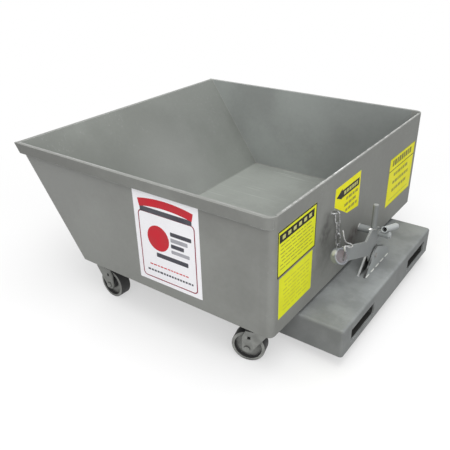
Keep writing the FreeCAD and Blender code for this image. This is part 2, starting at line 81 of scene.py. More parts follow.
lens = bpy.data.cameras.new("photo_camera")
lens.sensor_width = sensor_width
lens.lens = sensor_width * focal_pixels / photo_side
camera = bpy.data.objects.new("photo_camera", lens)
camera.location = camera_place
camera.rotation_euler = [math.radians(angle) for angle in camera_turn]
bpy.context.scene.collection.objects.link(camera)
bpy.context.scene.camera = camera
print("lens", round(lens.lens, 1), "mm")

# %% [markdown]
# ## Shader arithmetic
# A finish is a tree of nodes. Wiring each Math node by hand hides the idea, so one small class wraps a
# socket and lets Python's own operators add the Math nodes: `1 - mask` reads as what it does.


# %% A socket that can be added, subtracted and multiplied
class Shade:
    """A value that changes over a surface: the output socket of a node."""

    def __init__(self, owner, socket):
        self.owner = owner
        self.socket = socket

    def _math(self, operation, first, second):
        return self.owner.node("ShaderNodeMath", {"operation": operation}, {0: first, 1: second})

    def __add__(self, other):
        return self._math("ADD", self, other)

    def __radd__(self, other):
        return self._math("ADD", other, self)

    def __sub__(self, other):
        return self._math("SUBTRACT", self, other)

    def __rsub__(self, other):
        return self._math("SUBTRACT", other, self)

    def __mul__(self, other):
        return self._math("MULTIPLY", self, other)

    def __rmul__(self, other):
        return self._math("MULTIPLY", other, self)


print("operators:", [name for name in vars(Shade) if name.strip("_")[-3:] in ("add", "sub", "mul")])

# %% [markdown]
# Every other kind of node comes from one method. It takes the node's type, its settings and what goes into
# its sockets, which is either a plain value or a link from another socket. Materials and the world both have
# a node tree, so the class that holds the method works for either.


# %% A node tree under construction
class Tree:
    """The nodes of a material or of the world."""

    def __init__(self, owner):
        owner.use_nodes = True
        self.tree = owner.node_tree
        self.tree.nodes.clear()

    def node(self, kind, settings, sockets, out=0):
        made = self.tree.nodes.new(kind)
        for name, value in settings.items():
            setattr(made, name, value)
        for name, value in sockets.items():
            if isinstance(value, Shade):
                self.tree.links.new(value.socket, made.inputs[name])
            else:
                made.inputs[name].default_value = value
        return None if out is None else Shade(self, made.outputs[out])

    def step(self, value, low, high):
        """0 below low, 1 above high and a smooth ramp between them."""
        settings = {"interpolation_type": "SMOOTHSTEP"}
        return self.node("ShaderNodeMapRange", settings, {0: value, 1: low, 2: high})

    def mix(self, factor, first, second):
        settings = {"data_type": "RGBA"}
        return self.node("ShaderNodeMix", settings, {0: factor, 6: first, 7: second}, out=2)


print("tree methods:", [name for name in vars(Tree) if not name.startswith("_")])

# %% [markdown]
# A finish is built from the same few ideas again and again: noise, and masks for places, directions, edges
# and hollows. Each is a short method, and a mask goes from 0 to 1, so masks can be multiplied together.


# %% A material under construction
class Finish(Tree):
    """One material, with the few kinds of pattern that painted and bare steel need."""

    def __init__(self, name):
        self.material = bpy.data.materials.new(name)
        super().__init__(self.material)

    def place(self):
        """Where a point is on the piece in metres, so that a pattern travels with it when it moves."""
        return self.node("ShaderNodeTexCoord", {}, {}, out="Object")

    def noise(self, scale, detail=2.0, stretch=(1, 1, 1)):
        where = self.node("ShaderNodeVectorMath", {"operation": "MULTIPLY"}, {0: self.place(), 1: stretch})
        return self.node("ShaderNodeTexNoise", {}, {"Vector": where, "Scale": scale, "Detail": detail})

    def near(self, point, inner, outer):
        """1 closer to the point than inner and 0 farther than outer."""
        settings = {"operation": "DISTANCE"}
        away = self.node("ShaderNodeVectorMath", settings, {0: self.place(), 1: point}, "Value")
        return 1 - self.step(away, inner, outer)

    def above(self, low, high):
        """0 below the height low and 1 above the height high."""
        up = self.node("ShaderNodeSeparateXYZ", {}, {0: self.place()}, "Z")
        return self.step(up, low, high)

    def towards(self, way):
        """The cosine of the angle between a face's own direction and the way, both as the piece lies."""
        normal = self.node("ShaderNodeTexCoord", {}, {}, out="Normal")
        return self.node("ShaderNodeVectorMath", {"operation": "DOT_PRODUCT"}, {0: normal, 1: way}, "Value")

    def facing(self, way):
        """1 on faces that look the way and 0 on faces that look across it or from it."""
        return self.step(self.towards(way), 0.4, 0.8)

    def edges(self, width):
        """1 along the sharp edges of the piece: there the rounded normal leaves the face's own one."""
        rounded = self.node("ShaderNodeBevel", {"samples": 6}, {"Radius": width})
        face = self.node("ShaderNodeNewGeometry", {}, {}, out="Normal")
        dot = self.node("ShaderNodeVectorMath", {"operation": "DOT_PRODUCT"}, {0: rounded, 1: face}, "Value")
        return self.step(1 - dot, 0.01, 0.12)

    def hollows(self, reach):
        """1 deep in a corner and 0 on an open face."""
        open_sky = self.node("ShaderNodeAmbientOcclusion", {"samples": 8}, {"Distance": reach}, "AO")
        return 1 - open_sky

    def surface(self, colour, roughness, metallic=0.0, height=None, shine=0.5):
        """Ends the tree. Height is in metres."""
        sockets = {"Base Color": colour, "Roughness": roughness, "Metallic": metallic}
        sockets["Specular IOR Level"] = shine
        if height is not None:
            sockets["Normal"] = self.node("ShaderNodeBump", {}, {"Distance": 1.0, "Height": height})
        shader = self.node("ShaderNodeBsdfPrincipled", {}, sockets)
        self.node("ShaderNodeOutputMaterial", {}, {"Surface": shader}, out=None)
        return self.material


print("patterns:", [name for name in vars(Finish) if not name.startswith("_")])

# %% [markdown]
# ## Grey enamel
# The bin, the base and the latch wear one coat of mid-grey enamel, sprayed by hand after welding. Spray
# passes leave broad lighter and darker clouds, the film has a fine orange-peel skin, the sheet under it is
# not quite flat, and paint thins and rubs off on sharp edges. Each of those is one noise or one edge mask.
# An image texture could hold all this, but noise in metres needs no unwrapping and never shows a seam.

# %% Colours of the paint
paint_dark = (0.222, 0.226, 0.213)
paint_light = (0.282, 0.289, 0.272)
# Pale grey for rubbed paint and for painted highlights and painted light.
rubbed_paint_and_highlight = (0.52, 0.53, 0.52, 1)
# Near white, for rubbed bright steel and for painted highlights.
bright_steel_and_highlight = (0.74, 0.75, 0.74, 1)
# Dark grey, for dirt specks on the stickers and for painted shade.
grime_and_shade = (0.10, 0.098, 0.09, 1)
# Dark grey for painted shade.
painted_shade_grey = (0.11, 0.115, 0.115, 1)
neutral, cool, greenish = (1, 1, 1), (0.97, 1.0, 1.06), (0.968, 1.0, 0.985)


def toned(colour, tone, tint=neutral):
    return tuple(channel * tone * share for channel, share in zip(colour, tint)) + (1,)


print("paint from", toned(paint_dark, 1), "to", toned(paint_light, 1))

# %% [markdown]
# The layers of the paint are mixed in this order: the spray, then painted shade in the corners, then scuffs
# and spots, and at last the worn edges. Spots are stains, rubbed places, painted shade and painted highlights.
# A small spot is patchy, and wide ones are even clouds of painted shade and painted light.

# %% Enamel over sheet steel
widest_patchy_spot = 300 * mm
corner_reach = 60 * mm
edge_blend = 15 * mm
peel_depth, wave_depth = 0.02 * mm, 1.2 * mm


def enamel(
    name, edge_width, edge_wear, scuffs=0.0, stretch=(1, 1, 1), hollow_shade=0.25, tone=1.0, tint=neutral,
    spots=(), bare=None, edge_colour=rubbed_paint_and_highlight, mottle=0.0, upright_shade=0.0,
):
    """Grey paint, with painted shade in its corners as strong as asked. Scuffs are light streaks, spots are local
    stains, rubbed places, painted shade and painted highlights, on faces that look one way if a spot names it,
    and patchy unless they are very wide. Bare gives two heights between which the edges stay covered, mottle
    is blotches a hand wide, and one argument paints shade on upright faces."""
    paint = Finish(name)
    clouds = paint.step(paint.noise(2.6, detail=4), 0.32, 0.68)
    mist = paint.noise(60, detail=3)
    speckle = paint.noise(700)
    shade = 0.7 * clouds + 0.35 * mist + 0.25 * speckle - 0.15
    colour = paint.mix(paint.step(shade, 0, 1), toned(paint_dark, tone, tint), toned(paint_light, tone, tint))
    # Painted shade: upright faces are darkened.
    if upright_shade:
        colour = paint.mix(upright_shade * (1 - paint.facing((0, 0, 1))), colour, grime_and_shade)
    if mottle:
        blotches = paint.step(paint.noise(9, detail=5), 0.42, 0.64)
        colour = paint.mix(mottle * blotches, colour, toned(paint_dark, 0.7, tint))
    # Painted shade: corners and hollows are darkened.
    corner_shade = hollow_shade * paint.step(paint.hollows(corner_reach), 0.35, 0.95)
    colour = paint.mix(corner_shade, colour, grime_and_shade)
    streaks = paint.step(paint.noise(90, detail=3, stretch=stretch), 0.58, 0.74)
    streaks = streaks * paint.step(paint.noise(5, detail=2), 0.42, 0.66)
    colour = paint.mix(scuffs * streaks, colour, rubbed_paint_and_highlight)
    patchy = paint.step(paint.noise(28, detail=4), 0.36, 0.62)
    # Each spot is a stain, a rubbed place, a painted shade or a painted highlight, as its colour says.
    for point, inner, outer, amount, spot_mark, *way in spots:
        spot = amount * paint.near(point, inner, outer)
        if outer < widest_patchy_spot:
            spot = spot * (0.4 + 0.6 * patchy)
        colour = paint.mix(spot * paint.facing(way[0]) if way else spot, colour, spot_mark)
    worn = edge_wear * paint.edges(edge_width) * patchy
    if bare is not None:
        covered_from, covered_to = bare
        over = paint.above(covered_to, covered_to + edge_blend)
        under = 1 - paint.above(covered_from - edge_blend, covered_from)
        worn = worn * (over + under)
    colour = paint.mix(worn, colour, edge_colour)
    roughness = 0.46 + 0.14 * clouds + 0.1 * speckle - 0.12 * worn
    peel = peel_depth * paint.noise(420, detail=1)
    waves = wave_depth * paint.noise(3.2, detail=1)
    return paint.surface(colour, roughness, height=peel + waves, shine=0.22)


print("stains wider than", round(widest_patchy_spot / mm), "mm are even")

# %% [markdown]
# One coat covers everything, but each piece was handled in its own way since. The panel behind the latch
# carries painted shadow of the lever and the pin, the strip beside the chain carries painted shadow of the
# chain and the latch, and the rear edge is rubbed bright by hands and carries a painted highlight. A spot is
# a place, two radii between which it fades, a strength and a colour, and if it must not show through on the
# sheet's other face, the way that its own face looks.

# %% Painted shadows and the rubbed edge of the rear panel
wall_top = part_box("left_rim")[0].z
wall_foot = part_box("floor_plate")[1].z
pivot_low, pivot_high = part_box("latch_pivot_pin")
pivot = (pivot_low + pivot_high) / 2
rear_face_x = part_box("rear_panel")[0].x
bar_low, bar_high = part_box("rear_edge_bar")
# Painted shadow of the lever and the pin on the panel, dark and reddish.
latch_shadow_colour = (0.085, 0.07, 0.066, 1)
behind_latch = (rear_face_x, pivot.y + 65 * mm, pivot.z - 20 * mm)
worn_and_lit_place = (bar_low.x, 175 * mm, bar_high.z)
outside = (-1, 0, 0)
latch_shadow = (behind_latch, 25 * mm, 70 * mm, 0.95, latch_shadow_colour, outside)
# Painted shadow of the chain and the latch, in grey streaks beside them.
cast_shadow_grey = (0.085, 0.085, 0.08, 1)
rear_shadows = [latch_shadow]
cast_shadows = [
    (295, 475, 10, 60, 0.7),
    (298, 425, 12, 65, 0.9),
    (250, 440, 10, 60, 0.3),
    (315, 345, 40, 150, 0.3),
    (199, 436, 10, 42, 0.7),
    (193, 385, 12, 45, 0.8),
    (193, 335, 10, 45, 0.5),
]
for y, z, inner, outer, amount in cast_shadows:
    rear_shadows.append(((rear_face_x, y * mm, z * mm), inner * mm, outer * mm, amount, cast_shadow_grey, outside))
# Wear and a painted highlight along the rear edge bar.
edge_wear_and_highlight = (worn_and_lit_place, 55 * mm, 85 * mm, 1.0, bright_steel_and_highlight)
print(len(rear_shadows), "stains behind the latch and the chain")

# %% [markdown]
# The bin's walls wear only at their top and bottom edges. The floor and the chute are scraped along the way
# the load slides, so their scuffs are noise that is stretched along the bin.

# %% Coats of the bin
sheet_edge = 2.0 * mm
lengthwise = (0.03, 1, 1)
covered = (wall_foot, wall_top)

bin_coat = enamel("bin_enamel", sheet_edge, 0.6, scuffs=0.06)
rim_coat = enamel("rim_enamel", 2.5 * mm, 0.7, tone=0.86)
# The edge bar's bright edges are wear and painted highlight together.
edge_coat = enamel("edge_enamel", 4.0 * mm, 1.0, spots=[edge_wear_and_highlight], edge_colour=bright_steel_and_highlight)
rear_coat = enamel("rear_enamel", sheet_edge, 0.5, scuffs=0.1, tone=0.93, bare=covered, spots=rear_shadows)

near_corner = (650 * mm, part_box("left_side_panel")[1].y, wall_top)
# Painted light: a wide lighter cloud over the front of the left wall.
front_painted_light = (near_corner, 150 * mm, 800 * mm, 0.2, rubbed_paint_and_highlight)
wall_coat = enamel("wall_enamel", sheet_edge, 0.5, scuffs=0.06, tone=0.96, bare=covered, spots=[front_painted_light])

far_corner = (rear_face_x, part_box("right_side_panel")[1].y, wall_top)
# Painted shade towards the far wall's rear top corner. The wall's paint is made lighter as painted light.
far_corner_shade = (far_corner, 100 * mm, 800 * mm, 0.37, painted_shade_grey)
far_coat = enamel(
    "far_wall_enamel", sheet_edge, 0.5, scuffs=0.08, tone=1.2, tint=(0.965, 1.0, 1.02), bare=covered,
    spots=[far_corner_shade],
)

floor_coat = enamel("floor_enamel", sheet_edge, 0.5, scuffs=0.6, stretch=lengthwise, tone=1.12, tint=greenish)
# Painted shade at the chute's top corner and painted light at its foot.
chute_light_and_shade = [
    ((636 * mm, -400 * mm, 560 * mm), 100 * mm, 450 * mm, 0.19, painted_shade_grey),
    ((455 * mm, -60 * mm, 290 * mm), 80 * mm, 400 * mm, 0.17, rubbed_paint_and_highlight),
]
chute_coat = enamel(
    "chute_enamel", sheet_edge, 0.5, scuffs=0.15, stretch=lengthwise, tone=0.87, tint=greenish,
    spots=chute_light_and_shade,
)
bin_coats = (bin_coat, rim_coat, edge_coat, rear_coat, wall_coat, far_coat, floor_coat, chute_coat)
print("coats of the bin:", [coat.name for coat in bin_coats])

# %% [markdown]
# The base stands low, where forks and dirt reach it, so it is blotchy. Its upright faces carry painted shade,
# most of all those that look to the left, and the inside of the fork pockets is painted almost black as
# shade. The latch is handled every day and rubbed bright on its edges. The gap between the keeper's two
# plates is painted black as shade, and the keeper's rear plate has lighter paint as painted light.

# %% Coats of the base, the latch and the keeper
pan_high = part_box("base_pan")[1]
# Painted shade on the base's faces that look to the left.
left_face_shade = ((0, pan_high.y, pan_high.z), 1.0, 2.0, 0.14, grime_and_shade, (0, 1, 0))
# Painted shade on the base's upright faces.
base_coat = enamel(
    "base_enamel", 3.0 * mm, 0.8, scuffs=0.1, tone=1.04, tint=cool, spots=[left_face_shade], mottle=0.5,
    upright_shade=0.3,
)
# Painted shade: the inside of the fork pockets is painted almost black.
pocket_shade_coat = enamel("pocket_enamel", sheet_edge, 0.3, scuffs=0.3, stretch=lengthwise, tone=0.12)
latch_coat = enamel("latch_enamel", 1.5 * mm, 0.8, hollow_shade=0.5, tint=cool)
pivot_coat = enamel("pivot_enamel", 1.5 * mm, 0.5, hollow_shade=0.2, tone=1.25, tint=cool)
front_plate_low, front_plate_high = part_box("keeper_front_plate")
keeper_gap = (front_plate_low.x, 95 * mm, front_plate_low.z + 40 * mm)
sloping = (0, 0.74, 0.67)
# Painted shade: the gap between the keeper's plates is painted black.
gap_shade_black, dull_grease = (0.03, 0.028, 0.027, 1), (0.05, 0.05, 0.05, 1)
gap_shade = (keeper_gap, 50 * mm, 110 * mm, 1.0, gap_shade_black, outside)
slope_spot = (keeper_gap, 100 * mm, 140 * mm, 1.0, rubbed_paint_and_highlight, sloping)
keeper_coat = enamel("keeper_enamel", 1.5 * mm, 0.8, hollow_shade=0.5, tint=cool, spots=[gap_shade, slope_spot])
dull_slope = (keeper_gap, 100 * mm, 140 * mm, 1.0, dull_grease, sloping)
# Painted light: the rear plate's paint is made lighter.
keeper_rear_coat = enamel(
    "keeper_rear_enamel", 1.5 * mm, 0.0, hollow_shade=0.1, tone=1.36, tint=cool, spots=[dull_slope],
)
low_coats = (base_coat, pocket_shade_coat, latch_coat, pivot_coat, keeper_coat, keeper_rear_coat)
print("coats of the base, the latch and the keeper:", [coat.name for coat in low_coats])

# %% [markdown]
# The cast weight at the end of the lever has a dished end. Red primer shows through where the paint in the
# dish has thinned, and its rim has a painted highlight. The lever's upright pipe has a painted highlight on
# its closed top and paint made darker as painted shade, and the tee's paint is made lighter as painted
# light.

# %% Coats of the weight and the upright pipe
weight_low, weight_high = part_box("lever_weight")
weight_middle = (weight_low + weight_high) / 2
weight_axis = Vector((-0.8075, 0.3766, 0.4540))
dish_middle = weight_middle + weight_axis * 11 * mm
primer = (0.175, 0.15, 0.15, 1)
# Painted highlight on the near rim of the weight's dish.
rim_highlight_place = (-604 * mm, 361 * mm, 399 * mm)
weight_spots = [
    (dish_middle, 20 * mm, 27 * mm, 1.0, primer),
    (rim_highlight_place, 8 * mm, 15 * mm, 1.0, rubbed_paint_and_highlight),
]
weight_coat = enamel(
    "weight_enamel", 2.5 * mm, 1.0, hollow_shade=0.3, tone=0.97, tint=(0.96, 0.99, 1.15), spots=weight_spots,
    mottle=0.6,
)

lever_coat = enamel("lever_enamel", 2.0 * mm, 1.0, hollow_shade=0.5, tint=cool)
# Painted light: the tee's paint is made lighter.
tee_coat = enamel("tee_enamel", 1.5 * mm, 0.3, hollow_shade=0.5, tone=1.75, tint=cool)

pipe_low, pipe_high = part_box("lever_handle")
pipe_top = ((pipe_low.x + pipe_high.x) / 2, (pipe_low.y + pipe_high.y) / 2, pipe_high.z)
# Painted highlight on the pipe's closed top.
top_highlight = (pipe_top, 7 * mm, 14 * mm, 0.55, rubbed_paint_and_highlight)
# Painted shade: the pipe's paint is made darker.
pipe_coat = enamel("pipe_enamel", 0.5 * mm, 0.3, tone=0.82, tint=cool, spots=[top_highlight])
print("weight at", [round(c / mm) for c in weight_middle], "pipe top at", [round(c / mm) for c in pipe_top])

# %% [markdown]
# ## Casters, chain and pins
# The casters were bolted on before the last coat, so grey overspray covers their outer faces and thins out
# towards the inside, where dark steel shows. The ambient-occlusion node knows how enclosed a point is, which
# is the same thing that keeps spray away, and the dark steel it leaves in the hollows is painted shade as
# well. The chain is galvanised: zinc freezes in flat crystals of a few millimetres, which a cell pattern
# gives. Pins and bolts are plain drawn steel.

# %% Bare and half-painted metals
cast_grain, drawn_grain = 0.06 * mm, 0.01 * mm


def oversprayed_and_shaded(name, steel, reach, edge_width, axle=None):
    """Grey spray over steel, with painted shade in its hollows. Round faces about the axle, if one is
    given, are rolled bare and made near black, painted shade as well.
    """
    metal = Finish(name)
    # Painted shade: the hollows show dark steel.
    spray_cover_and_shade = 1 - metal.step(metal.hollows(reach) + 0.4 * metal.noise(40, detail=3), 0.38, 0.75)
    if axle is not None:
        sideways = metal.towards(axle)
        # Painted shade: the treads are made near black.
        spray_cover_and_shade = spray_cover_and_shade * (0.03 + 0.97 * metal.step(sideways * sideways, 0.15, 0.6))
    mottle = metal.step(metal.noise(35, detail=4), 0.3, 0.7)
    coat = metal.mix(mottle, toned(paint_dark, 0.92), toned(paint_light, 1.0))
    colour = metal.mix(spray_cover_and_shade, steel, coat)
    worn = 0.7 * metal.edges(edge_width) * metal.step(metal.noise(90, detail=3), 0.4, 0.6)
    colour = metal.mix(worn, colour, rubbed_paint_and_highlight)
    grain = cast_grain * metal.noise(260, detail=3)
    return metal.surface(colour, 0.5 + 0.12 * mottle, metallic=0.4 * (1 - spray_cover_and_shade), height=grain, shine=0.25)


def galvanised():
    zinc = Finish("galvanised_zinc")
    cell = zinc.node("ShaderNodeTexVoronoi", {}, {"Vector": zinc.place(), "Scale": 300.0}, "Color")
    crystal = zinc.node("ShaderNodeSeparateColor", {}, {0: cell})
    spot_mark = zinc.step(zinc.noise(120, detail=4), 0.45, 0.75)
    colour = zinc.mix(crystal, (0.24, 0.245, 0.25, 1), (0.5, 0.505, 0.51, 1))
    colour = zinc.mix(0.85 * spot_mark, colour, (0.09, 0.09, 0.085, 1))
    return zinc.surface(colour, 0.4 + 0.2 * spot_mark + 0.1 * crystal, metallic=0.75)


def drawn_bar(name, bright, dull, spread):
    bar = Finish(name)
    tarnish = bar.step(bar.noise(70, detail=4), 0.5 - spread, 0.5 + spread)
    lines = bar.noise(900, detail=1, stretch=(0.05, 1, 1))
    colour = bar.mix(tarnish, bright, dull)
    return bar.surface(colour, 0.3 + 0.2 * tarnish + 0.08 * lines, metallic=0.8, height=drawn_grain * lines)


print("finishes:", [maker.__name__ for maker in (oversprayed_and_shaded, galvanised, drawn_bar)])

# %% [markdown]
# No paint stays on a tread that rolls on a concrete floor, and the treads are made near black, which is
# painted shade as well. A wheel's tread is where its faces look away from the axle, and the axles point in
# different ways, so each wheel has a coat of its own. The frame's joints say which way each axle lies.

# %% Metals of the casters, the chain and the pins
caster_coat = oversprayed_and_shaded("caster_overspray", (0.07, 0.07, 0.068, 1), 22 * mm, 1.0 * mm)
# Near-black treads: bare steel and painted shade.
tread_steel_and_shade = (0.06, 0.06, 0.06, 1)
wheel_coats = {}
for joint in frame["joints"]:
    if joint["name"].endswith("_spin"):
        axle = tuple(joint["axis"])
        corner = joint["name"].removesuffix("_spin")
        wheel_coats[corner] = oversprayed_and_shaded(corner + "_overspray", tread_steel_and_shade, 24 * mm, 1.5 * mm, axle)
zinc_coat = galvanised()
pin_steel = drawn_bar("pin_steel", (0.5, 0.5, 0.49, 1), (0.26, 0.25, 0.24, 1), 0.14)
bush_brass = drawn_bar("bush_brass", (0.56, 0.42, 0.2, 1), (0.3, 0.22, 0.1, 1), 0.2)
print("metals:", [m.name for m in (caster_coat, zinc_coat, pin_steel, bush_brass, *wheel_coats.values())])

# %% [markdown]
# ## Dress the solids
# The packed record says which finish each node has, so the loop reads that and swaps the plain material
# for the made one. A few pieces have a coat of their own, which is looked up first.

# %% Give every node its finish
slot_finish = {
    "bin_paint": bin_coat,
    "base_paint": base_coat,
    "latch_paint": latch_coat,
    "caster_steel": caster_coat,
    "wheel_steel": caster_coat,
    "galvanised_steel": zinc_coat,
    "plain_steel": pin_steel,
    "bush_brass": bush_brass,
}
own_finish = {
    "left_side_panel": wall_coat,
    "right_side_panel": far_coat,
    "rear_panel": rear_coat,
    "floor_plate": floor_coat,
    "chute_plate": chute_coat,
    "rear_edge_bar": edge_coat,
    "left_rim": rim_coat,
    "right_rim": rim_coat,
    "front_rim": rim_coat,
    "left_fork_pocket": pocket_shade_coat,
    "right_fork_pocket": pocket_shade_coat,
    "lever_plate": lever_coat,
    "lever_weight": weight_coat,
    "lever_handle": pipe_coat,
    "tee_handle": tee_coat,
    "latch_pivot_pin": pivot_coat,
    "latch_spacers": pivot_coat,
    "keeper_front_plate": keeper_coat,
    "keeper_rear_plate": keeper_rear_coat,
}
for corner, coat in wheel_coats.items():
    own_finish[corner + "_caster_wheel"] = coat
    own_finish[corner + "_caster_axle"] = caster_coat
for subpart in frame["record"]["subparts"]:
    name = subpart["node"]
    nodes[name].data.materials.clear()
    nodes[name].data.materials.append(own_finish.get(name, slot_finish[subpart["material_slot"]]))

# %% [markdown]
# ## Stickers
# Vinyl stickers are on the bin: yellow ones with black print on the rear panel and a white one with a red
# frame on the left side. The printing is a plain generic layout of bands, frames and rules. Each sticker is
# a thin sheet, and each colour of ink a thinner sheet on top of it, so edges stay crisp at any distance. A
# sticker is drawn flat in its own two directions and then laid on the panel.

# %% Vinyl and ink
wrinkle_depth = 0.2 * mm


def vinyl(name, fresh, faded, fade_scale, gloss):
    sheet = Finish(name)
    fade = sheet.step(sheet.noise(fade_scale, detail=4), 0.35, 0.72)
    specks = sheet.step(sheet.noise(500, detail=2), 0.66, 0.74)
    colour = sheet.mix(0.75 * fade, fresh, faded)
    colour = sheet.mix(0.25 * specks, colour, grime_and_shade)
    wrinkles = wrinkle_depth * sheet.noise(35, detail=2)
    return sheet.surface(colour, gloss + 0.15 * fade, height=wrinkles, shine=0.1)


yellow_vinyl = vinyl("yellow_vinyl", (0.82, 0.85, 0.025, 1), (0.75, 0.77, 0.035, 1), 14.0, 0.42)
warm_vinyl = vinyl("warm_vinyl", (0.94, 0.89, 0.01, 1), (0.87, 0.82, 0.014, 1), 14.0, 0.42)
white_vinyl = vinyl("white_vinyl", (0.95, 0.945, 0.97, 1), (0.91, 0.90, 0.935, 1), 9.0, 0.4)
black_ink = vinyl("black_ink", (0.014, 0.013, 0.012, 1), (0.035, 0.033, 0.028, 1), 30.0, 0.45)
olive_ink = vinyl("olive_ink", (0.34, 0.33, 0.05, 1), (0.46, 0.45, 0.05, 1), 60.0, 0.45)
umber_ink = vinyl("umber_ink", (0.19, 0.18, 0.03, 1), (0.30, 0.29, 0.035, 1), 60.0, 0.45)
faint_ink = vinyl("faint_ink", (0.62, 0.63, 0.05, 1), (0.70, 0.71, 0.05, 1), 60.0, 0.45)
pale_ink = vinyl("pale_ink", (0.62, 0.62, 0.22, 1), (0.52, 0.52, 0.16, 1), 60.0, 0.42)
red_ink = vinyl("red_ink", (0.60, 0.03, 0.045, 1), (0.50, 0.05, 0.06, 1), 20.0, 0.4)
wine_ink = vinyl("wine_ink", (0.26, 0.03, 0.055, 1), (0.32, 0.06, 0.085, 1), 20.0, 0.4)
slate_ink = vinyl("slate_ink", (0.07, 0.07, 0.085, 1), (0.12, 0.12, 0.135, 1), 20.0, 0.42)
grey_ink = vinyl("grey_ink", (0.36, 0.36, 0.39, 1), (0.46, 0.46, 0.49, 1), 20.0, 0.42)
inks = (black_ink, olive_ink, umber_ink, faint_ink, pale_ink, red_ink, wine_ink, slate_ink, grey_ink)
print("inks:", [ink.name for ink in inks])

# %% [markdown]
# A flat shape is a list of corners, counter-clockwise. Rounded corners are arcs of a few points, and a disc
# is one arc all the way round.


# %% Flat shapes
def rectangle(centre, size, radius=0.0, points=6):
    """The corners of a rectangle, rounded if it has a radius."""
    half = (size[0] / 2 - radius, size[1] / 2 - radius)
    corners = []
    for quarter, (side, end) in enumerate([(1, 1), (-1, 1), (-1, -1), (1, -1)]):
        middle = (centre[0] + side * half[0], centre[1] + end * half[1])
        for step in range(points if radius else 1):
            angle = math.radians(90) * (quarter + step / max(points - 1, 1))
            corners.append((middle[0] + radius * math.cos(angle), middle[1] + radius * math.sin(angle)))
    return corners


def disc(centre, radius, points=28):
    turns = [2 * math.pi * i / points for i in range(points)]
    return [(centre[0] + radius * math.cos(a), centre[1] + radius * math.sin(a)) for a in turns]


trial_shapes = rectangle((0, 0), (2, 1), 0.1), disc((0, 0), 1)
print([len(shape) for shape in trial_shapes], "points on a rounded rectangle and on a disc")

# %% [markdown]
# A sheet of vinyl or ink is a shape pulled up by its thickness and closed on all sides. A frame is a strip
# between a shape and the same shape drawn smaller, so it needs matching corners and no hole-cutting.


# %% Sheets and frames
def sheet_of(mesh, outline, low, high, ink):
    """Adds a closed flat sheet to the mesh, from height low to high."""
    rings = [[mesh.verts.new((u, v, h)) for u, v in outline] for h in (low, high)]
    made = [mesh.faces.new(rings[1]), mesh.faces.new(reversed(rings[0]))]
    for i in range(len(outline)):
        j = (i + 1) % len(outline)
        made.append(mesh.faces.new((rings[0][i], rings[0][j], rings[1][j], rings[1][i])))
    for face in made:
        face.material_index = ink


def frame_of(mesh, outer, inner, low, high, ink):
    """Adds a closed flat frame to the mesh, between two outlines with as many points each."""
    rings = [[mesh.verts.new((u, v, h)) for u, v in line] for h in (low, high) for line in (outer, inner)]
    below_out, below_in, above_out, above_in = rings
    for i in range(len(outer)):
        j = (i + 1) % len(outer)
        quads = [
            (above_out[i], above_out[j], above_in[j], above_in[i]),
            (below_in[i], below_in[j], below_out[j], below_out[i]),
            (below_out[i], below_out[j], above_out[j], above_out[i]),
            (above_in[i], above_in[j], below_in[j], below_in[i]),
        ]
        for quad in quads:
            mesh.faces.new(quad).material_index = ink


trial = bmesh.new()
sheet_of(trial, disc((0, 0), 1), 0, 1, 0)
print(len(trial.faces), "faces on a round sheet")
trial.free()

# %% [markdown]
# Small print reads from a distance as rows of short dashes. A row is filled from the left with dashes of
# random length, from a seeded generator, so every run of the lesson prints the same sheet.


# %% Rows of dashes
def dash_rows(ink, left, right, tops, height, shortest, longest, seed, layer=0):
    """Prints for stick(): one row of dashes below each of the heights in tops."""
    draw = random.Random(seed)
    gap = shortest * 0.45
    prints = []
    for top in tops:
        start = left + draw.uniform(0, shortest)
        while start + shortest < right:
            end = min(start + draw.uniform(shortest, longest), right)
            middle = ((start + end) / 2, top - height / 2)
            prints.append((layer, sheet_of, ink, rectangle(middle, (end - start, height))))
            start = end + gap
    return prints


trial_row = dash_rows(1, 0, 100 * mm, [0], 5 * mm, 8 * mm, 16 * mm, seed=1)
print(len(trial_row), "dashes in a trial row of 100 mm")

# %% [markdown]
# A sticker is laid on its panel with a matrix of three directions: along the print, up the print and out of
# the panel. The rear panel is seen from behind, where +Y is to the left, so the print runs along -Y there.

# %% Stick a printed sheet on a panel
vinyl_thickness = 0.25 * mm
ink_thickness = 0.15 * mm
left_face_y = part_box("left_side_panel")[1].y
bin_base_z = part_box("floor_plate")[0].z
right_of = {"rear": Vector((0, -1, 0)), "left": Vector((-1, 0, 0))}
out_of = {"rear": Vector((-1, 0, 0)), "left": Vector((0, 1, 0))}


def link_piece(name, mesh, body, materials):
    """Turns a finished bmesh into a piece that rides on a body."""
    data = bpy.data.meshes.new(name)
    bmesh.ops.recalc_face_normals(mesh, faces=mesh.faces)
    mesh.to_mesh(data)
    mesh.free()
    for material in materials:
        data.materials.append(material)
    piece = bpy.data.objects.new(name, data)
    bpy.context.scene.collection.objects.link(piece)
    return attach(piece, body)


def stick(name, panel, middle, turn, inks, outline, prints):
    """Outline and prints are in the sticker's own plane, in metres from its middle. The middle is a place
    along the panel and a height above the underside of the bin."""
    mesh = bmesh.new()
    sheet_of(mesh, outline, 0, vinyl_thickness, 0)
    for layer, kind, ink, *shapes in prints:
        low = vinyl_thickness + layer * ink_thickness
        kind(mesh, *shapes, low, low + ink_thickness, ink)
    lay = Matrix((right_of[panel], Vector((0, 0, 1)), out_of[panel])).transposed().to_4x4()
    along, z = middle[0], bin_base_z + middle[1]
    lay.translation = (rear_face_x, along, z) if panel == "rear" else (along, left_face_y, z)
    mesh.transform(lay @ Matrix.Rotation(math.radians(turn), 4, "Z"))
    print(name, "with", len(prints), "prints at", [round(c / mm) for c in lay.translation])
    return link_piece(name, mesh, "bin", inks)


# %% [markdown]
# The upper of the two sheets near the left corner has a black border, a heading band with pale blocks and
# seven rows of small print. The blocks lie on the band, so they are one layer of ink higher.

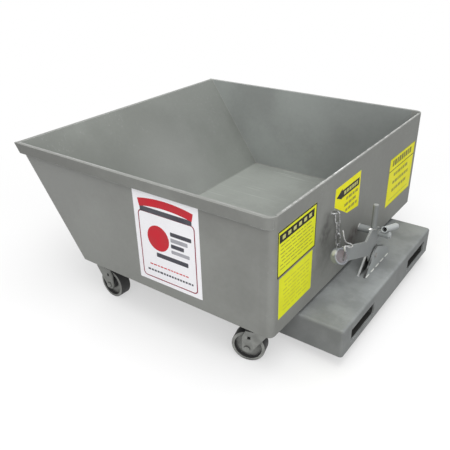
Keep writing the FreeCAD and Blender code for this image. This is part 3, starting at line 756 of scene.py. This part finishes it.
# %% The upper yellow sticker near the left corner
lean = 0.95
upper_size = (255 * mm, 171 * mm)
border = 5 * mm
band_size = (228 * mm, 31 * mm)
band_middle = (-4 * mm, 56 * mm)
inside = (upper_size[0] - 2 * border, upper_size[1] - 2 * border)
upper_prints = [
    (0, frame_of, 1, rectangle((0, 0), upper_size), rectangle((0, 0), inside)),
    (0, sheet_of, 1, rectangle(band_middle, band_size)),
]
band_blocks = 6
block_pitch = band_size[0] / (band_blocks + 0.6)
for block in range(band_blocks):
    u = band_middle[0] + (block - (band_blocks - 1) / 2) * block_pitch
    size = (block_pitch * 0.55, band_size[1] * 0.45)
    upper_prints.append((1, sheet_of, 3, rectangle((u, band_middle[1]), size, 2 * mm)))
row_tops = [(30 - 14.5 * row) * mm for row in range(7)]
upper_prints += dash_rows(2, -112 * mm, 108 * mm, row_tops, 3.5 * mm, 12 * mm, 40 * mm, seed=3)
yellow_inks = [yellow_vinyl, black_ink, olive_ink, pale_ink, faint_ink, umber_ink]
warm_inks = [warm_vinyl] + yellow_inks[1:]
upper_outline = rectangle((0, 0), upper_size)
upper_middle = (510.5 * mm, 314.7 * mm)
stick("upper_sticker", "rear", upper_middle, lean, yellow_inks, upper_outline, upper_prints)

# %% [markdown]
# The lower sheet hangs right below it. It is narrower, has rounded corners and no border, and the sun has
# bleached its rows until they are hardly darker than the vinyl.

# %% The lower yellow sticker
lower_size = (227 * mm, 163 * mm)
row_tops = [(56 - 16 * row) * mm for row in range(8)]
lower_prints = dash_rows(4, -88 * mm, 92 * mm, row_tops, 5 * mm, 14 * mm, 44 * mm, seed=5)
lower_outline = rectangle((0, 0), lower_size, 3 * mm)
lower_middle = (509 * mm, 140.5 * mm)
stick("lower_sticker", "rear", lower_middle, lean, yellow_inks, lower_outline, lower_prints)

# %% [markdown]
# The wide sheet on the right has a thin edge, a row of tall blocks as its heading, a rule below that, three
# rows in lighter ink and a faint one at its foot. Its vinyl is a warmer yellow, from another roll.

# %% The wide yellow sticker on the right
wide_size = (309 * mm, 234 * mm)
wide_rule = 56 * mm
edge_rule = 3 * mm
wide_inside = (wide_size[0] - 2 * edge_rule, wide_size[1] - 2 * edge_rule)
wide_prints = [
    (0, frame_of, 2, rectangle((0, 0), wide_size), rectangle((0, 0), wide_inside)),
    (1, sheet_of, 1, rectangle((0, wide_rule), (wide_size[0], 3.4 * mm))),
]
wide_prints += dash_rows(5, -126 * mm, 126 * mm, [102 * mm], 28 * mm, 15 * mm, 30 * mm, seed=7)
row_tops = [(34 - 38 * row) * mm for row in range(3)]
wide_prints += dash_rows(2, -96 * mm, 100 * mm, row_tops, 15 * mm, 14 * mm, 34 * mm, seed=9)
wide_prints += dash_rows(4, -120 * mm, 120 * mm, [-88 * mm], 8 * mm, 10 * mm, 24 * mm, seed=11)
wide_outline = rectangle((0, 0), wide_size)
wide_middle = (-461 * mm, 213.5 * mm)
stick("wide_sticker", "rear", wide_middle, 0, warm_inks, wide_outline, wide_prints)

# %% [markdown]
# The small sheet above the chain has a black arrow and three rows, and its lower left corner is trimmed off.
# The arrow is a triangle and a bar that meet on one line, so both are plain lists of corners.

# %% The small yellow sticker above the chain
small_outline = [(108, 70), (-110, 70), (-112, -2), (6, -72), (112, -84)]
small_outline = [(u * mm, v * mm) for u, v in small_outline]
arrow_head = [(-100 * mm, 30 * mm), (-54 * mm, 10 * mm), (-54 * mm, 52 * mm)]
arrow_shaft = rectangle((22 * mm, 29 * mm), (152 * mm, 31 * mm))
small_prints = [(0, sheet_of, 1, arrow_head), (0, sheet_of, 1, arrow_shaft)]
small_prints += dash_rows(3, -40 * mm, 92 * mm, [36 * mm], 14 * mm, 12 * mm, 20 * mm, seed=13, layer=1)
row_tops = [(2 - 25 * row) * mm for row in range(3)]
small_prints += dash_rows(2, -26 * mm, 92 * mm, row_tops, 12 * mm, 14 * mm, 34 * mm, seed=15)
small_middle, small_lean = (129 * mm, 325 * mm), 0.6
stick("small_sticker", "rear", small_middle, small_lean, warm_inks, small_outline, small_prints)

# %% [markdown]
# The white sheet on the side has an arched red heading, a slate band and a thin dark red frame. The arch is
# part of a ring, so its two edges are arcs about one centre.

# %% Arch and frame of the white sticker
arch_radius = 600 * mm
arch_half = 0.215
arch_top, arch_depth = 165 * mm, 31 * mm
arch_steps = 14
arch = []
for radius, way in ((arch_radius, 1), (arch_radius - arch_depth, -1)):
    for step in range(arch_steps + 1):
        angle = way * arch_half * (2 * step / arch_steps - 1)
        arch.append((radius * math.sin(angle), arch_top - arch_radius + radius * math.cos(angle)))
line = 4.4 * mm
frame_size, frame_mid = (264 * mm, 278 * mm), (0, -32 * mm)
frame_inner = (frame_size[0] - 2 * line, frame_size[1] - 2 * line)
frame_corner = 18 * mm
frame_lines = [
    rectangle(frame_mid, frame_size, frame_corner),
    rectangle(frame_mid, frame_inner, frame_corner - line),
]
white_prints = [
    (0, frame_of, 4, *frame_lines),
    (1, sheet_of, 2, rectangle((0, 114 * mm), (240 * mm, 20 * mm), 3 * mm)),
    (2, sheet_of, 1, list(reversed(arch))),
]
print(len(arch), "points on the arch,", len(frame_lines[0]), "on the frame")

# %% [markdown]
# Inside the frame is an abstract picture of a disc and five bars, with two rows of dashes below. A bar is
# given by its ink, its left end, its height on the sheet, its length and its own height, in millimetres.

# %% The white sticker on the left side
white_prints.append((0, sheet_of, 1, disc((-42 * mm, 8 * mm), 52 * mm)))
bars = [
    (2, 18, 44, 96, 16),
    (3, 18, 20, 78, 16),
    (2, 18, -4, 60, 16),
    (3, 18, -28, 84, 14),
    (2, -56, -62, 150, 18),
]
for ink, left, v, length, height in bars:
    bar_middle = (left * mm + length * mm / 2, v * mm)
    white_prints.append((0, sheet_of, ink, rectangle(bar_middle, (length * mm, height * mm), 3 * mm)))
white_prints += dash_rows(1, -98 * mm, 100 * mm, [-108 * mm], 5 * mm, 8 * mm, 16 * mm, seed=17)
white_prints += dash_rows(2, -112 * mm, 112 * mm, [-133 * mm], 8 * mm, 8 * mm, 14 * mm, seed=19)
white_inks = [white_vinyl, red_ink, slate_ink, grey_ink, wine_ink]
white_size = (302 * mm, 373 * mm)
white_outline = rectangle((0, 0), white_size, 3 * mm)
white_middle, white_lean = (-97.5 * mm, 229.3 * mm), 0.7
stick("white_sticker", "left", white_middle, white_lean, white_inks, white_outline, white_prints)

# %% [markdown]
# ## Welds
# The sheets meet in fillet welds, which the solid model leaves out. A weld is a row of overlapping puddles,
# so its bead is a tube whose radius ripples along its length and tapers at the ends. The tube sits half in
# the corner that it fills. To lay out its rings, each is turned from a direction that no bead follows.

# %% A rippled bead along a path
no_bead_way = Vector((0.31, 0.23, 0.92))


def bead(mesh, path, radius, closed, draw, ripple=0.13):
    """Adds a closed tube to the mesh. The path is a list of points in metres."""
    spacing = radius * 0.7
    points = []
    legs = list(zip(path, path[1:] + path[:1])) if closed else list(zip(path, path[1:]))
    for start, end in legs:
        count = max(1, round((end - start).length / spacing))
        points += [start.lerp(end, i / count) for i in range(count)]
    if not closed:
        points.append(path[-1])
    rings = []
    sides = 8
    total = len(points)
    for i, point in enumerate(points):
        ahead = points[(i + 1) % total] if closed or i + 1 < total else point
        behind = points[i - 1] if closed or i else point
        along = (ahead - behind).normalized()
        across = along.cross(no_bead_way).normalized()
        upward = along.cross(across)
        swell = 1 + ripple * (math.sin(i * 2.1) + draw.uniform(-0.5, 0.5))
        if not closed:
            swell *= min(1, 0.35 + 0.3 * min(i, total - 1 - i))
        turns = [2 * math.pi * side / sides for side in range(sides)]
        offsets = [across * math.cos(a) + upward * math.sin(a) for a in turns]
        rings.append([mesh.verts.new(point + offset * radius * swell) for offset in offsets])
    for i in range(total if closed else total - 1):
        first, second = rings[i], rings[(i + 1) % total]
        for side in range(sides):
            after = (side + 1) % sides
            mesh.faces.new((first[side], first[after], second[after], second[side]))
    if not closed:
        mesh.faces.new(rings[0])
        mesh.faces.new(reversed(rings[-1]))


trial = bmesh.new()
bead(trial, [Vector((0, 0, 0)), Vector((100 * mm, 0, 0))], 3 * mm, False, random.Random(1))
print(len(trial.verts), "points on a trial bead of 100 mm")
trial.free()

# %% [markdown]
# Beads of one joint share a piece, and each bead is one path. Most were painted over with the rest, a few
# hold little paint, and one was struck again after painting and is near white, a painted glint as well, so
# there are three finishes.


# %% A piece of weld
def weld(name, body, finish, radius, paths, closed=False, seed=1, ripple=0.13):
    """A piece with one bead for each path, whose points are in metres."""
    mesh = bmesh.new()
    draw = random.Random(seed)
    for path in paths:
        bead(mesh, [Vector(point) for point in path], radius, closed, draw, ripple)
    piece = link_piece(name, mesh, body, [finish])
    for face in piece.data.polygons:
        face.use_smooth = True
    print(name, len(paths), "beads of radius", round(radius / mm, 1), "mm")
    return piece


weld_coat = enamel("weld_enamel", 1.0 * mm, 0.2, hollow_shade=0.1)
bright_weld = enamel("bright_weld_enamel", 2.0 * mm, 0.9, hollow_shade=0.0, tone=2.6)
# Near-white steel: a bare tack and a painted glint.
tack_steel_and_glint = drawn_bar("tack_steel_and_glint", (0.95, 0.95, 0.94, 1), (0.8, 0.8, 0.79, 1), 0.2)
print("weld finishes:", [finish.name for finish in (weld_coat, bright_weld, tack_steel_and_glint)])

# %% [markdown]
# The bin's seams run round the floor and up both sides of the chute, and once more under the floor's long
# edges. All of these were painted over, so they take the same coat as the sheet.

# %% Seams of the bin
floor_low, floor_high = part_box("floor_plate")
side_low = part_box("left_side_panel")[0]
chute_low, chute_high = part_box("chute_plate")
rear_inner_x = bar_low.x
inner_y = side_low.y
corner_y = bar_high.y
chute_lip = 6 * mm
seam_start = side_low.x + 4 * mm
seams = []
for side in (1, -1):
    y = side * inner_y
    foot = (chute_low.x + 1 * mm, y, floor_high.z)
    seams.append([(seam_start, y, floor_high.z), foot])
    seams.append([foot, (chute_high.x - chute_lip, y, chute_high.z - 1 * mm)])
    seams.append([(seam_start, y, floor_low.z), (chute_low.x, y, floor_low.z)])
seams.append([(rear_inner_x, corner_y, floor_high.z), (rear_inner_x, -corner_y, floor_high.z)])
seams.append([(chute_low.x, inner_y, floor_high.z), (chute_low.x, -inner_y, floor_high.z)])
weld("bin_seams", "bin", weld_coat, 3 * mm, seams, seed=2)

# %% [markdown]
# The folded rims and the bar along the rear edge end in short upright beads, at the corners of the bin. Both
# sides are alike, so one loop lays the beads of both.

# %% Ends of the rims and the edge bar
rim_low, rim_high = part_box("left_rim")
rim_x = rim_low.x + 1 * mm
bar_x = (bar_low.x + bar_high.x) / 2
rim_ends, bar_ends = [], []
for side in (1, -1):
    rim_y = side * (rim_low.y + 1 * mm)
    rim_ends.append([(rim_x, rim_y, rim_low.z + 2 * mm), (rim_x, rim_y, rim_high.z - 2 * mm)])
    bar_y = side * (corner_y + 2 * mm)
    bar_ends.append([(bar_x, bar_y, bar_low.z + 1 * mm), (bar_x, bar_y, bar_high.z - 2 * mm)])
weld("rim_end_welds", "bin", weld_coat, 1.8 * mm, rim_ends, seed=4)
weld("edge_bar_welds", "bin", weld_coat, 2.5 * mm, bar_ends, seed=6)

# %% [markdown]
# The latch's keeper has a row of bright stitches along the foot of its rear plate, where the paint is thin
# over a heavy weld, and one painted bead along the foot of its front plate.

# %% Welds of the keeper
keeper_low, keeper_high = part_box("keeper_rear_plate")
stitches = 5
stitch_pitch = (keeper_high.y - keeper_low.y) / stitches
keeper_welds = []
for stitch in range(stitches):
    start = keeper_high.y - stitch_pitch * (stitch + 0.12)
    end = start - stitch_pitch * 0.72
    keeper_welds.append([(keeper_low.x, start, keeper_low.z), (keeper_low.x, end, keeper_low.z)])
weld("keeper_welds", "base", bright_weld, 3.2 * mm, keeper_welds, seed=8)

foot_ends = (front_plate_high.y - 4 * mm, front_plate_low.y + 4 * mm)
foot_line = [(front_plate_high.x, y, front_plate_low.z) for y in foot_ends]
weld("keeper_front_weld", "base", weld_coat, 3 * mm, [foot_line], seed=10)

# %% [markdown]
# Each outrigger has upright gussets where it meets the side of the base, and a short bead runs up beside
# each of them. The beads stop a little short of the gussets' ends.

# %% Welds of the gussets
gusset_low, gusset_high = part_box("outrigger_gussets")
gusset_inset, end_gap = 12 * mm, 5 * mm
gusset_welds = []
for outrigger in ("front_outrigger", "rear_outrigger"):
    low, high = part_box(outrigger)
    for x in (low.x + gusset_inset, high.x - gusset_inset):
        for side in (1, -1):
            y = side * pan_high.y
            gusset_welds.append([(x, y, gusset_low.z + end_gap), (x, y, gusset_high.z - end_gap)])
weld("gusset_welds", "base", weld_coat, 2.5 * mm, gusset_welds, seed=12)

# %% [markdown]
# Each half of the hinge carries the whole bin when it tips, so ears and lugs are welded along both of their
# sides: the ears upright on the front of the base, the lugs along the bent foot of the chute.

# %% Welds of the hinge
ear_low, ear_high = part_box("hinge_ears")
lug_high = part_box("hinge_lugs")[1]
lug_thickness, ear_thickness, side_gap = 12 * mm, 10 * mm, 1 * mm
inner_ear = lug_high.y - lug_thickness - side_gap - ear_thickness
ear_foot, ear_top = ear_low.z + 4 * mm, pan_high.z - 4 * mm
lug_seat = [(385 * mm, 188 * mm), (419 * mm, 237 * mm)]
hinge_welds, lug_welds = [], []
for side in (1, -1):
    for y in (ear_high.y, inner_ear):
        hinge_welds.append([(ear_low.x, side * y, z) for z in (ear_foot, ear_top)])
    for y in (lug_high.y, lug_high.y - lug_thickness):
        lug_welds.append([(x, side * y, z) for x, z in lug_seat])
weld("hinge_ear_welds", "base", weld_coat, 2.5 * mm, hinge_welds, seed=20)
weld("hinge_lug_welds", "bin", weld_coat, 2.5 * mm, lug_welds, seed=22)

# %% [markdown]
# Round pieces have ring-shaped beads, and a ring is a closed path. The first is where the pivot pin meets
# the rear panel. Its top has a painted highlight.


# %% Weld round the pivot pin
def ring(middle, radius, normal, points=36):
    """A closed path round a round piece."""
    across = normal.orthogonal().normalized()
    upward = normal.cross(across)
    turns = [2 * math.pi * i / points for i in range(points)]
    return [middle + (across * math.cos(a) + upward * math.sin(a)) * radius for a in turns]


to_front = Vector((1, 0, 0))
spacer_low, spacer_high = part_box("latch_spacers")
spacer_radius = (spacer_high.z - spacer_low.z) / 2
pin_foot = Vector((rear_face_x, pivot.y, pivot.z))
pivot_ring = ring(pin_foot, spacer_radius + 0.5 * mm, to_front)
# Painted highlight at the top of the ring.
ring_top = pin_foot + Vector((-2 * mm, 9 * mm, 15 * mm))
pivot_weld_coat = enamel(
    "pivot_weld_enamel", 1.0 * mm, 0.2, hollow_shade=0.1, spots=[(ring_top, 8 * mm, 12 * mm, 1.0, bright_steel_and_highlight)],
)
weld("pivot_weld", "bin", pivot_weld_coat, 3 * mm, [pivot_ring], True, 14)

# %% [markdown]
# The chain's staple has two feet of thin wire, and the lever has a sleeve and an upright pipe. Their welds
# are the same ring at other sizes.

# %% Welds of the staple and the lever
staple_low, staple_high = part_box("chain_staple")
staple_wire = 3.5 * mm
staple_z = (staple_low.z + staple_high.z) / 2
feet = [Vector((rear_face_x, y, staple_z)) for y in (staple_low.y + staple_wire, staple_high.y - staple_wire)]
foot_rings = [ring(foot, staple_wire + 0.5 * mm, to_front, 20) for foot in feet]
weld("staple_welds", "bin", weld_coat, 1.8 * mm, foot_rings, True, 16)

plate_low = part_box("lever_plate")[0]
sleeve_low, sleeve_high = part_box("lever_sleeve")
sleeve_radius = (sleeve_high.z - sleeve_low.z) / 2
sleeve_ring = ring(Vector((plate_low.x, pivot.y, pivot.z)), sleeve_radius, to_front)
pipe_radius = (pipe_high.y - pipe_low.y) / 2
pipe_foot = Vector((pipe_top[0], pipe_top[1], pipe_low.z))
lever_rings = [sleeve_ring, ring(pipe_foot, pipe_radius, Vector((0, 0, 1)))]
weld("lever_welds", "latch_lever", weld_coat, 2.5 * mm, lever_rings, True, 18)

# %% [markdown]
# The upright pipe was tacked to the lever before it was welded all round. The tack is one short, thick bead
# that was struck again after painting, so it is bare, and its near-white steel is a painted glint as well.

# %% Bare tack weld at the foot of the upright pipe
tack = [(-609 * mm, 62 * mm, 357 * mm), (-620 * mm, 51 * mm, 361 * mm)]
weld("handle_tack", "latch_lever", tack_steel_and_glint, 6 * mm, [tack], seed=28)

# %% [markdown]
# The weight's round side meets the flat face of the lever's arm at an angle, so the bead between them
# follows an ellipse: each of its points lies one radius from the weight's axis.

# %% Weld between the weight and the arm
weight_radius = 30 * mm
cut_middle = weight_middle + weight_axis * ((plate_low.x - weight_middle.x) / weight_axis.x)
arm_bead = []
for angle in range(115, 250, 9):
    way = Vector((0, math.cos(math.radians(angle)), math.sin(math.radians(angle))))
    arm_bead.append(cut_middle + way * weight_radius / math.sqrt(1 - way.dot(weight_axis) ** 2))
weld("weight_weld", "latch_lever", weld_coat, 2.5 * mm, [arm_bead], seed=24)

# %% [markdown]
# ## The wire that keeps the lever shut
# A bent galvanised wire hangs over the lever's arm, where the chain's clip is hooked in for transport. It is
# bent by hand, so it follows a smooth curve through a few points. Blender's own curves pass beside their
# control points unless handles are set for each, so the cubic that goes through all of them is written out.


# %% Safety wire
def smooth(points, steps=8):
    """A path through the points, rounded as bent wire is."""
    ends = [points[0] * 2 - points[1]] + points + [points[-1] * 2 - points[-2]]
    path = []
    for before, start, end, after in zip(ends, ends[1:], ends[2:], ends[3:]):
        for step in range(steps):
            t = step / steps
            path.append(
                start
                + (end - before) * 0.5 * t
                + (before * 2 - start * 5 + end * 4 - after) * 0.5 * t * t
                + (start * 3 - before - end * 3 + after) * 0.5 * t * t * t
            )
    return path + [points[-1]]


wire_points = [
    (-612, 317, 469), (-612, 303, 434), (-610, 278, 404), (-611, 262, 392), (-619, 251, 385.5),
    (-628, 256, 383), (-629, 272, 386), (-629.5, 292, 395), (-632, 318, 412), (-635, 342, 424),
    (-641, 352, 409),
]
wire_path = smooth([Vector(point) * mm for point in wire_points])
wire_radius = 2.7 * mm
wire_steel = drawn_bar("wire_steel", (0.68, 0.68, 0.68, 1), (0.4, 0.4, 0.4, 1), 0.14)
weld("safety_wire", "latch_lever", wire_steel, wire_radius, [wire_path], seed=26, ripple=0.0)

# %% [markdown]
# The wire's last stretch hangs in front of the weight. It is a piece with a near-black finish, painted shade
# for the dark line down the weight's face, and it starts at the point where the bright one ends.

# %% Dark end of the wire
tail_points = [wire_points[-1], (-644, 361, 404), (-646, 370, 395), (-647.5, 376, 386.5)]
tail_path = smooth([Vector(point) * mm for point in tail_points])
# Painted shade: the wire's end is near black.
tail_shade_steel = drawn_bar("tail_shade_steel", (0.1, 0.1, 0.1, 1), (0.05, 0.05, 0.05, 1), 0.14)
weld("wire_tail", "latch_lever", tail_shade_steel, wire_radius, [tail_path], seed=30, ripple=0.0)

# %% [markdown]
# ## Floor and light
# The picture is a cut-out on white, under even workshop light. The floor is a plain pale sheet that goes on
# past the edge of the view. What the camera and mirrors see of it is mixed towards plain white: only in part
# near the object, where its soft shadow lies, and wholly far away, so floor and sky meet without a line.

# %% Floor
floor_half = 30.0
floor_mesh = bpy.data.meshes.new("floor")
floor_signs = ((-1, -1), (1, -1), (1, 1), (-1, 1))
floor_mesh.from_pydata([(floor_half * u, floor_half * v, 0) for u, v in floor_signs], [], [(0, 1, 2, 3)])
floor = bpy.data.objects.new("floor", floor_mesh)
floor.location.z = solid_box[0].z
bpy.context.scene.collection.objects.link(floor)
print("floor at", round(floor.location.z / mm, 1), "mm")

# %% [markdown]
# The floor has two surfaces in one. Light on its way to the object meets a grey one, which throws little
# back. The camera meets a pale one with a white glow mixed in. The Light Path node tells the two apart.


# %% Finish of the floor
def seen_directly(tree):
    """1 for what the camera, a mirror or a pane of glass sees, and 0 for light on its way to a surface."""
    seen = tree.node("ShaderNodeLightPath", {}, {}, "Is Camera Ray")
    for kind in ("Is Glossy Ray", "Is Transmission Ray"):
        seen = seen + tree.node("ShaderNodeLightPath", {}, {}, kind)
    return tree.step(seen, 0, 1)


pale = Finish("pale_floor")
near_white, far_white = 0.5, 1.0
open_floor = 1 - pale.near((0, 0, 0), 0.9, 2.2)
whiteness = near_white + (far_white - near_white) * open_floor
lighting = pale.node("ShaderNodeBsdfDiffuse", {}, {"Color": (0.3, 0.3, 0.3, 1)})
shown = pale.node("ShaderNodeBsdfDiffuse", {}, {"Color": (0.86, 0.86, 0.86, 1)})
glow = pale.node("ShaderNodeEmission", {}, {"Color": (1, 1, 1, 1), "Strength": 1.0})
shown = pale.node("ShaderNodeMixShader", {}, {0: whiteness, 1: shown, 2: glow})
floor_shader = pale.node("ShaderNodeMixShader", {}, {0: seen_directly(pale), 1: lighting, 2: shown})
pale.node("ShaderNodeOutputMaterial", {}, {"Surface": floor_shader}, out=None)
floor_mesh.materials.append(pale.material)
print("floor white from", near_white, "near the object to", far_white, "far away")

# %% [markdown]
# Three large round lamps light the object: one overhead, one behind the camera and a weaker one on the far
# side. A lamp as wide as a room's ceiling gives the soft, even light of a workshop with many tubes.

# %% Lamps
lamp_size = 4.5


def soft_lamp(name, place, aim, watts):
    lamp = bpy.data.lights.new(name, "AREA")
    lamp.shape = "DISK"
    lamp.size = lamp_size
    lamp.energy = watts
    lamp_object = bpy.data.objects.new(name, lamp)
    lamp_object.location = place
    lamp_object.rotation_euler = (Vector(aim) - Vector(place)).to_track_quat("-Z", "Y").to_euler()
    bpy.context.scene.collection.objects.link(lamp_object)
    print(name, watts, "W")


bin_middle = (0, 0, 0.4)
soft_lamp("ceiling_lamp", (-0.3, 0.3, 4.5), bin_middle, 134)
soft_lamp("camera_side_lamp", (-2.2, 3.0, 2.2), bin_middle, 108)
soft_lamp("far_side_lamp", (3.2, -3.4, 1.2), bin_middle, 70)

# %% [markdown]
# The sky fills in what the lamps leave dark. It lights the object at half strength, and the camera and
# mirrors see it as plain white. The world has a node tree too, so the same class builds it.

# %% Sky
sky_light = 0.5
sky = bpy.data.worlds.new("white_sky")
air = Tree(sky)
strength = sky_light + (1 - sky_light) * seen_directly(air)
white = air.node("ShaderNodeBackground", {}, {"Color": (1, 1, 1, 1), "Strength": strength})
air.node("ShaderNodeOutputWorld", {}, {"Surface": white}, out=None)
bpy.context.scene.world = sky
bpy.context.scene.view_settings.view_transform = "Standard"
print("sky lights at", sky_light, "and shows at 1")

# %% [markdown]
